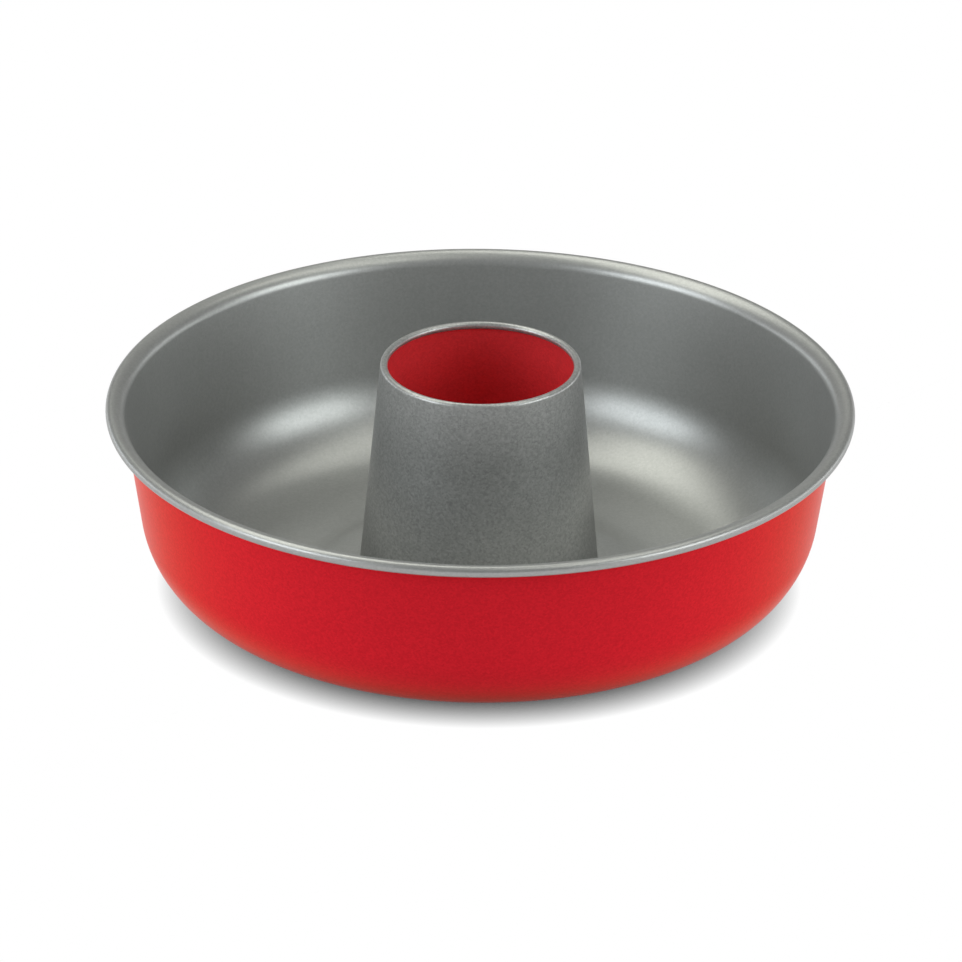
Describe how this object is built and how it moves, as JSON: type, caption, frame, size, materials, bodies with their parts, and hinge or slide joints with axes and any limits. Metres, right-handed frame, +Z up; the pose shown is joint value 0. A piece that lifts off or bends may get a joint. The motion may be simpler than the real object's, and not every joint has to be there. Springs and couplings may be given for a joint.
{
  "type": "ring cake pan",
  "caption": "Round ring cake pan of coated sheet steel with drafted wall, rolled rim and tapered open centre tube.",
  "frame": {"origin": "on the pan's centre line, at the level of the flat ring of the floor that it stands on", "axes": "+Z up along the centre line; the pan is round, so X and Y are any two level directions"},
  "size_m": [0.28, 0.28, 0.0908],
  "materials": {
    "red_lacquer": "satin lacquer on sheet steel",
    "grey_nonstick": "satin grey non-stick coat on sheet steel"
  },
  "bodies": {
    "root": {"pan_shell": "red_lacquer", "centre_tube": "grey_nonstick"}
  },
  "joints": []
}
